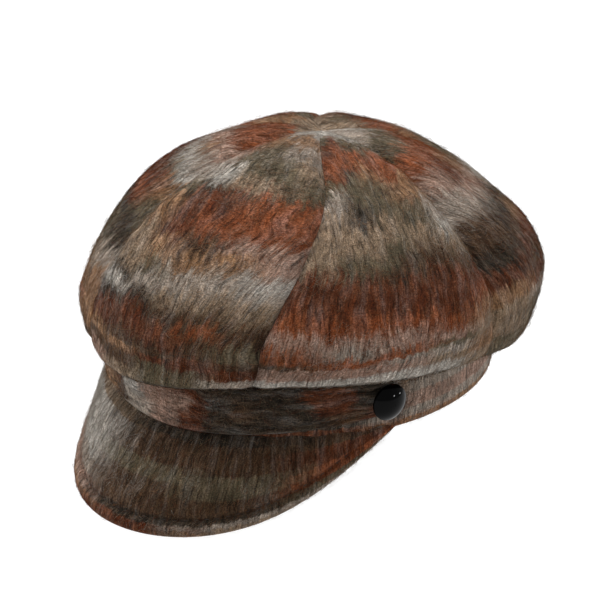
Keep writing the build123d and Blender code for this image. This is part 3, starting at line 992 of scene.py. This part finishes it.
def strap_face(u, v):
    """The strap's outer face: u is -1 at its lower edge to 1 at its upper edge, v is 0 to 1 along it."""
    u = np.asarray(u, float)
    angle, middle, half = strap_section(v)
    edge = (1 - np.abs(u)) * half
    lip = np.clip(1 - edge / STRAP_LIP, 0, 1)
    flat = band_point(angle, 0, middle + u * half)
    out = STRAP_OUT + STRAP_THICK * np.sqrt(np.maximum(1 - lip**2, 0))
    out = out - 0.0006 * hill(edge, STRAP_SEAM_INSET, 0.0009) * rise(half, 0.004)
    out = out + (0.0004 * waves(flat, 0.012, 31) + 0.0003 * waves(flat, 0.03, 32)) * rise(edge, 0.002)
    out = out + 0.0003 * hill(np.abs(angle), BUTTON_ANGLE, 4.5)
    return flat + band_normal(angle) * out[..., None]


def strap_layer(u, v, out, share=1.0):
    """A flat face behind the strap, some way out from the headband, over a share of the strap's height."""
    angle, middle, half = strap_section(v)
    return band_point(angle, 0, middle + share * u * half) + band_normal(angle) * out


grid = np.meshgrid(steps_closer_to_ends(41, 1), 0.5 + 0.5 * steps_closer_to_ends(301, 0.35))
strap_maps = {"cloth": stack(grid[0] * STRAP_HALF, grid[1] * STRAP_LONG), "bands": band_map(*grid)}
strap_wool = wool_material("plaid_strap", STRAP_SIDES, 15)
shell_piece(
    "strap_wool", strap_face(*grid), strap_layer(*grid, 0.0011), strap_maps, strap_wool, "front_strap"
)
shell_piece(
    "strap_backing_wool", strap_layer(*grid, 0.00105, 0.93), strap_layer(*grid, 0.0001, 0.93), strap_maps,
    strap_wool, "strap_backing",
)

v = np.linspace(0.10, 0.90, 500)
angle, _, half = strap_section(v)
rows = [
    stitch_row(strap_face(side * (1 - STRAP_SEAM_INSET / half), v), band_normal(angle), 0.0042, 0.0028, 0.00024)
    for side in (-1, 1)
]
stitching("strap_stitches", rows, "strap_stitching")


# -------- mohair

WOOL_NAMES = list(WOOLS)
STRAY_WOOLS = np.array([[WOOL_NAMES.index(wool) for wool in strays] for _, strays in WOOLS.values()])
STRAY_HAIRS = 0.42

# The nap keeps this far from the middle of each button, so that the buttons can turn.
BUTTON_CLEAR = 0.0098
BUTTON_MIDDLES = [np.array(sum(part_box(side + "_button"), Vector()) / 2) for side in ("left", "right")]


def band_of(sides, u, v):
    """The wool that a fibre takes at u and v of a piece, as an index into WOOL_NAMES."""
    column = np.clip(((u + 1) / 2 * len(sides)).astype(int), 0, len(sides) - 1)
    result = np.zeros(len(u), int)
    for side, bands in enumerate(sides):
        starts, wools = zip(*bands)
        wools = np.array([WOOL_NAMES.index(wool) for wool in wools])
        chosen = wools[np.clip(np.searchsorted(starts, v, "right") - 1, 0, None)]
        result = np.where(column == side, chosen, result)
    return result


def scatter(surface, count, reach, lift, radius, spread, curl):
    """Roots fibres evenly over a piece and lays them along its grain. Gives centres, normals, radii, wools."""
    place, widths, sides, (lean, fan) = surface

    def half_wide(v):
        return np.maximum(np.interp(2 * v, *widths), 1e-4)

    tries = count * 4
    u = rng.uniform(-0.985, 0.985, tries)
    v = rng.uniform(0.006, 0.985, tries)
    normal, across, down = face_normals(place, u, v)
    area = np.linalg.norm(np.cross(across, down), axis=-1)
    keep = rng.uniform(0, 1, tries) < area / np.quantile(area, 0.995)
    keep = np.flatnonzero(keep)[:count]
    u, v, normal = u[keep], v[keep], normal[keep]
    down = np.linalg.norm(down[keep], axis=-1)
    total = len(keep)
    length = reach * rng.uniform(0.5, 1.3, total)
    heading = rng.normal(0, spread, total)
    turning = rng.normal(0, 0.9 + 2.6 * curl, total)
    steps = 11 if curl else 4
    raised = lift * rng.uniform(0.2, 1.0, total) ** 2
    centres = []
    sideways = u * half_wide(v)
    leaning = (lean + fan * u) * np.clip((0.48 - v) / 0.08, 0, 1)
    onwards = np.zeros(total)
    for step in range(steps):
        share = step / (steps - 1)
        if step:
            bearing = heading + turning * share
            pace = length / (steps - 1)
            sideways = sideways + (np.sin(bearing) + np.cos(bearing) * leaning) * pace
            onwards = onwards + np.cos(bearing) * pace
        here_v = np.clip(v + onwards / down, 0.004, 0.992)
        here_u = np.clip(sideways / half_wide(here_v), -0.99, 0.99)
        height = radius + raised * np.sin(share * pi * 0.62) ** 1.2
        centres.append(place(here_u, here_v) + normal * height[:, None])
    centres = np.stack(centres, 1)
    chosen = band_of(sides, u + rng.normal(0, 0.12, total), v + rng.normal(0, 0.018, total))
    strays = rng.uniform(0, 1, total) < STRAY_HAIRS
    chosen = np.where(strays, STRAY_WOOLS[chosen, rng.integers(0, 3, total)], chosen)
    radii = radius * rng.uniform(0.6, 1.25, total)
    clear = np.ones(total, bool)
    for middle in BUTTON_MIDDLES:
        clear &= np.linalg.norm(centres - middle, axis=-1).min(axis=1) > BUTTON_CLEAR
    return centres[clear], normal[clear], radii[clear], chosen[clear]


# Short hairs that lie down the cloth, curled hairs, and a few long loose ones: (one for how many of the count,
# length, lift, radius in metres, spread of headings in radians, curl).
HAIRS = [
    (1, 0.0042, 0.0008, 0.000045, 0.75, 0.0),
    (4, 0.008, 0.0025, 0.000033, 1.1, 0.9),
    (50, 0.020, 0.0024, 0.000033, 0.9, 0.9),
]
GORE_HAIRS = 12000


def gore_nap(gore):
    surface = gore_surface(gore), GORE_SIZES[gore][:2], GORE_SIDES[gore], GRAIN_LEAN.get(gore, (0, 0))
    return surface, GORE_HAIRS


def even_nap(place, half, sides, count):
    """The nap of a piece that is about as wide all the way along."""
    return (place, ([0, 2], [half, half]), sides, (0, 0)), count


def headband_face(u, v):
    """The headband's outer face: u is -1 to 1 round it from the front, v is 0 to 1 down it."""
    return band_point(180 * (u + 1), 0.0, BAND_TOP * (1 - v))


naps = {
    "crown_front": [gore_nap(gore) for gore in (5, 0, 1)],
    "crown_back": [gore_nap(gore) for gore in (2, 3, 4)],
    "band": [
        even_nap(visor_top, 0.137, VISOR_SIDES, 9000),
        even_nap(strap_face, STRAP_HALF, STRAP_SIDES, 4500),
        even_nap(headband_face, 0.302, HEADBAND_SIDES, 7000),
    ],
}
mohair = [
    blank_material("mohair_" + wool, Base_Color=(*dye(wool), 1), Roughness=0.85, Specular_IOR_Level=0.05)[0]
    for wool in WOOL_NAMES
]
for nap_name, pieces in naps.items():
    sets = [
        scatter(surface, count // rarity, *kind)
        for surface, count in pieces for rarity, *kind in HAIRS
    ]
    for index, wool in enumerate(WOOL_NAMES):
        parts = []
        for centres, normals, radii, chosen in sets:
            mine = chosen == index
            if mine.any():
                parts.append(strands(centres[mine], normals[mine], radii[mine]))
        if parts:
            name = f"mohair_{nap_name}_{wool}"
            new_piece(name, mesh_from(name, *joined(parts)), mohair[index])


# -------- small CAD parts kept as they are

def paint(node_name, material):
    mesh = nodes[node_name].data
    mesh.materials.clear()
    mesh.materials.append(material)


button_gloss = simple_material(
    "button_gloss", (0.005, 0.005, 0.006), 0.06, 0.2, 400, 0.000002, Specular_IOR_Level=0.06
)
for side in ("left", "right"):
    paint(side + "_button", button_gloss)
    paint(side + "_button_thread", thread)
paint("visor_board", simple_material("visor_board", (0.16, 0.16, 0.16), 0.8, 0.1, 600, 0.00005))
paint("headband_stiffener", simple_material("band_stiffener", (0.85, 0.84, 0.80), 0.8, 0.1, 600, 0.00005))


# -------- stage

FLOOR_HALF = 9
FLOOR_GAP = 0.0005
floor_z = CAD_BOX[0][2] - FLOOR_GAP
floor_mesh = bpy.data.meshes.new("floor")
corners = [(x * FLOOR_HALF, y * FLOOR_HALF, floor_z) for x, y in ((-1, -1), (1, -1), (1, 1), (-1, 1))]
floor_mesh.from_pydata(corners, [], [(0, 1, 2, 3)])
# The floor glows, so that it's almost white and the cap hardly throws a shadow, as in the photograph.
floor_mesh.materials.append(blank_material(
    "pale_floor", Base_Color=(0.2, 0.2, 0.2, 1), Roughness=0.9, Specular_IOR_Level=0.0,
    Emission_Color=(1, 1, 1, 1), Emission_Strength=0.97,
)[0])
add_object("floor", floor_mesh)

scene = bpy.context.scene
scene.world = bpy.data.worlds.new("studio")
scene.world.use_nodes = True
background = scene.world.node_tree.nodes["Background"]
background.inputs["Color"].default_value = (1.0, 1.0, 1.0, 1)
background.inputs["Strength"].default_value = 0.57

# Two soft lights, and two small ones that make the bright dots on the left button: (name, place, what it points
# at, size in metres, watts).
LEFT_BUTTON = (0.075, -0.05, 0.017)
LIGHTS = [
    ("overhead_softbox", (-0.3, 0.5, 1.9), (0, 0, 0.05), 2.2, 62),
    ("left_softbox", (-1.4, -0.7, 0.9), (0, 0, 0.03), 1.0, 25),
    ("button_glint_1", (1.714, 0.208, 0.385), LEFT_BUTTON, 0.05, 3.5),
    ("button_glint_2", (1.331, 1.078, 0.204), LEFT_BUTTON, 0.05, 3.0),
]
for name, place, target, size, power in LIGHTS:
    light = bpy.data.lights.new(name, "AREA")
    light.energy = power
    light.size = size
    lamp = add_object(name, light)
    lamp.location = place
    lamp.rotation_euler = (Vector(target) - Vector(place)).to_track_quat("-Z", "Y").to_euler()

# The camera stands to the wearer's left front, a little above, tilted a few degrees.
CAMERA_AZIMUTH = radians(33.67)
CAMERA_ELEVATION = radians(23.34)
CAMERA_TILT = radians(3.99)
CAMERA_DISTANCE = 0.8359
SENSOR = 36
FOCAL_WIDTHS = 2.856
AIM_RIGHT = -0.0036
AIM_UP = 0.0303
away = Vector((
    sin(CAMERA_AZIMUTH) * cos(CAMERA_ELEVATION),
    -cos(CAMERA_AZIMUTH) * cos(CAMERA_ELEVATION),
    sin(CAMERA_ELEVATION),
))
level_right = Vector((cos(CAMERA_AZIMUTH), sin(CAMERA_AZIMUTH), 0))
level_up = away.cross(level_right)
tilted_right = level_right * cos(CAMERA_TILT) + level_up * sin(CAMERA_TILT)
tilted_up = level_up * cos(CAMERA_TILT) - level_right * sin(CAMERA_TILT)
backwards = (away - tilted_right * AIM_RIGHT - tilted_up * AIM_UP).normalized()
right = tilted_up.cross(backwards).normalized()
up = backwards.cross(right)
camera_data = bpy.data.cameras.new("camera")
camera_data.sensor_width = SENSOR
camera_data.lens = SENSOR * FOCAL_WIDTHS
camera_data.clip_start = 0.01
camera = add_object("camera", camera_data)
turn = Matrix((right, up, backwards)).transposed().to_4x4()
camera.matrix_world = Matrix.Translation(away * CAMERA_DISTANCE) @ turn
scene.camera = camera
scene.view_settings.view_transform = "Standard"
